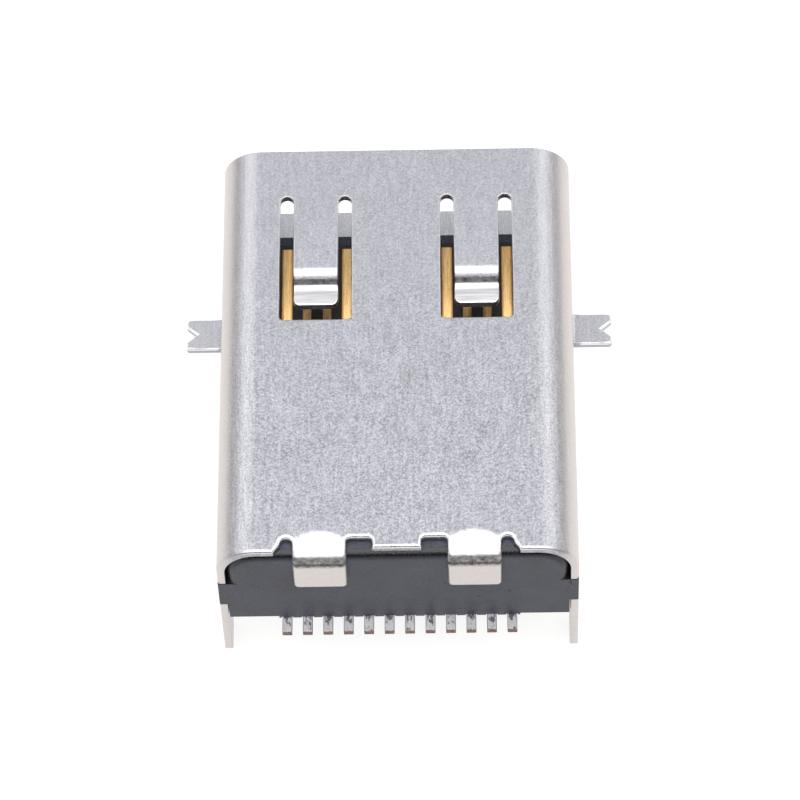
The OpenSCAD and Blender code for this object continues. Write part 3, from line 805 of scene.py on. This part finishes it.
class SOCKET_OT_plates(bpy.types.Operator):
    """Build the ground plates on the tongue's root and the stiffening plate inside it"""

    bl_idname = "socket.plates"
    bl_label = "Plates"

    def execute(self, context):
        material = plate_material()
        for name in ("ground_pad_top", "ground_pad_bottom", "mid_plate"):
            bm = copy_nodes([name])
            level = {"ground_pad_top": 1, "ground_pad_bottom": -1}.get(name, 0)
            for bend in PAD_BENDS:
                if level * bend[1][1] > 0:
                    refine_bend(bm, bend)
            new_piece(name + "_sheet", bm, [name], material, sizes().strip_edge)
        return {"FINISHED"}


class SOCKET_OT_contacts(bpy.types.Operator):
    """Build the two rows of contacts"""

    bl_idname = "socket.contacts"
    bl_label = "Contacts"

    def execute(self, context):
        material = contact_material()
        rows = (("upper", UPPER_TAIL_BENDS), ("lower", LOWER_TAIL_BENDS))
        for row, bends in rows:
            for name in sorted(n for n in NODES if n.startswith(row + "_contact")):
                bm = copy_nodes([name])
                for bend in bends:
                    refine_bend(bm, bend)
                new_piece(name + "_strip", bm, [name], material,
                          sizes().strip_edge, contact_edge_weight)
        return {"FINISHED"}


# ---- the stage ----


class SOCKET_OT_stage(bpy.types.Operator):
    """Set the table, the two curtains round it, the soft boxes, the white room and the camera"""

    bl_idname = "socket.stage"
    bl_label = "Stage"

    def execute(self, context):
        self.table()
        self.curtain("dark_curtain", middle=-90.0, sweep=96.0, height=0.235,
                     colour=(0.05, 0.045, 0.045))
        self.curtain("pale_curtain", middle=90.0, sweep=264.0, height=0.105,
                     colour=(0.85, 0.82, 0.80))
        self.lamps()
        self.room()
        self.camera()
        return {"FINISHED"}

    @staticmethod
    def stage_object(name, bm, material):
        """Makes an object of a mesh that belongs to the stage and not to the socket."""
        mesh = bpy.data.meshes.new(name)
        bm.to_mesh(mesh)
        bm.free()
        mesh.materials.append(material)
        item = bpy.data.objects.new(name, mesh)
        bpy.context.scene.collection.objects.link(item)
        return item

    def table(self):
        """A white table that keeps the soft shadow, and is white to the eye and in the metal."""
        material, make = new_material("white_table")
        paper = make.add("ShaderNodeBsdfDiffuse", None, {"Color": (0.28, 0.27, 0.26, 1.0)})
        glow = make.add(
            "ShaderNodeEmission", None, {"Color": (1.0, 1.0, 1.0, 1.0), "Strength": TABLE_GLOW})
        lit = make.add("ShaderNodeAddShader", None, {0: paper, 1: glow})
        shown = make.add("ShaderNodeMixShader", None, {0: make.seen(), 1: paper, 2: lit})
        # seen from below, the table is clear
        underside = make.add("ShaderNodeNewGeometry", out="Backfacing")
        clear = make.add("ShaderNodeBsdfTransparent")
        make.finish(make.add("ShaderNodeMixShader", None, {0: underside, 1: shown, 2: clear}))
        bm = bmesh.new()
        bmesh.ops.create_grid(bm, x_segments=1, y_segments=1, size=TABLE_HALF_W)
        bmesh.ops.translate(bm, verts=bm.verts, vec=(0.0, 0.0, TABLE_Z * MM))
        self.stage_object("table_top", bm, material)

    def curtain(self, name, middle, sweep, height, colour):
        """A low curtain round part of the table, for the metal's bends to mirror. Its middle and
        sweep are in degrees, and its height is in metres."""
        material, make = new_material(name)
        make.finish(make.add("ShaderNodeBsdfDiffuse", None, {"Color": colour4(colour)}))
        bm = bmesh.new()
        foot, head = (bm.verts.new((CURTAIN_R, 0.0, z)) for z in (CURTAIN_FOOT_Z, height))
        hem = bm.edges.new((foot, head))
        first = Matrix.Rotation(math.radians(middle - sweep / 2), 3, "Z")
        bmesh.ops.rotate(bm, verts=bm.verts, matrix=first)
        bmesh.ops.spin(bm, geom=[foot, head, hem], axis=(0.0, 0.0, 1.0),
                       angle=math.radians(sweep), steps=CURTAIN_STEPS)
        item = self.stage_object(name, bm, material)
        item.visible_camera = False

    def lamps(self):
        """Soft boxes that face the socket: a wide one above, and two warmer ones behind."""
        strength = BOX_POWER * bpy.context.scene.socket_stage.lamp
        for name, place, size, share, tint in BOXES:
            light = bpy.data.lights.new(name, "AREA")
            light.shape = "RECTANGLE"
            light.size, light.size_y = size
            light.color = tint
            light.energy = strength * size[0] * size[1] * share
            lamp = bpy.data.objects.new(name, light)
            lamp.location = place
            lamp.rotation_mode = "QUATERNION"
            lamp.rotation_quaternion = (-Vector(place)).to_track_quat("-Z", "Y")
            lamp.visible_camera = False
            bpy.context.scene.collection.objects.link(lamp)

    def room(self):
        """A white room: strength 1 to the eye and in the metal, less as light."""
        world = bpy.data.worlds.new("white_room")
        bpy.context.scene.world = world
        world.use_nodes = True
        make = Maker(world.node_tree)
        light = bpy.context.scene.socket_stage.room
        white = make.add(
            "ShaderNodeBackground", None,
            {"Color": (1.0, 1.0, 1.0, 1.0), "Strength": light + (1.0 - light) * make.seen()})
        make.add("ShaderNodeOutputWorld", None, {"Surface": white})

    def camera(self):
        """A long lens that looks down at the socket from behind."""
        camera = bpy.data.cameras.new("camera")
        camera.sensor_width = 36.0
        camera.lens = bpy.context.scene.socket_stage.lens
        camera.clip_start = 0.001
        camera.clip_end = 10.0
        item = bpy.data.objects.new("camera", camera)
        turn, height, roll = (math.radians(angle) for angle in CAMERA_ANGLES)
        item.matrix_world = (
            Matrix.Translation(Vector(CAMERA_PLACE) * MM)
            @ Matrix.Rotation(turn, 4, "Z")
            @ Matrix.Rotation(math.pi / 2 - height, 4, "X")
            @ Matrix.Rotation(roll, 4, "Z"))
        bpy.context.scene.collection.objects.link(item)
        bpy.context.scene.camera = item
        bpy.context.scene.view_settings.view_transform = "Standard"


class SOCKET_PT_panel(bpy.types.Panel):
    """Builds the socket's pieces"""

    bl_idname = "SOCKET_PT_panel"
    bl_label = "Board socket"
    bl_space_type = "VIEW_3D"
    bl_region_type = "UI"
    bl_category = "Socket"

    def draw(self, context):
        for name, settings in (("Sizes", context.scene.socket_sizes),
                               ("Finishes", context.scene.socket_finishes),
                               ("Stage", context.scene.socket_stage)):
            box = self.layout.box()
            box.label(text=name)
            for key in settings.__annotations__:
                box.prop(settings, key)
        for operator in OPERATORS:
            self.layout.operator(operator.bl_idname)


OPERATORS = (
    SOCKET_OT_shell, SOCKET_OT_housing, SOCKET_OT_inserts, SOCKET_OT_plates, SOCKET_OT_contacts,
    SOCKET_OT_stage,
)
GROUPS = {
    "socket_sizes": SocketSizes,
    "socket_finishes": SocketFinishes,
    "socket_stage": SocketStage,
}


def register():
    """Registers the classes and gives the scene its settings."""
    for kind in (*GROUPS.values(), *OPERATORS, SOCKET_PT_panel):
        bpy.utils.register_class(kind)
    for name, group in GROUPS.items():
        setattr(bpy.types.Scene, name, bpy.props.PointerProperty(type=group))


def unregister():
    """Takes away what register gave."""
    for name in GROUPS:
        delattr(bpy.types.Scene, name)
    for kind in (SOCKET_PT_panel, *reversed(OPERATORS), *reversed(GROUPS.values())):
        bpy.utils.unregister_class(kind)


def main():
    """Builds the pieces and the stage."""
    register()
    bpy.ops.socket.shell()
    bpy.ops.socket.housing()
    bpy.ops.socket.inserts()
    bpy.ops.socket.plates()
    bpy.ops.socket.contacts()
    bpy.ops.socket.stage()


if __name__ == "__main__":
    main()
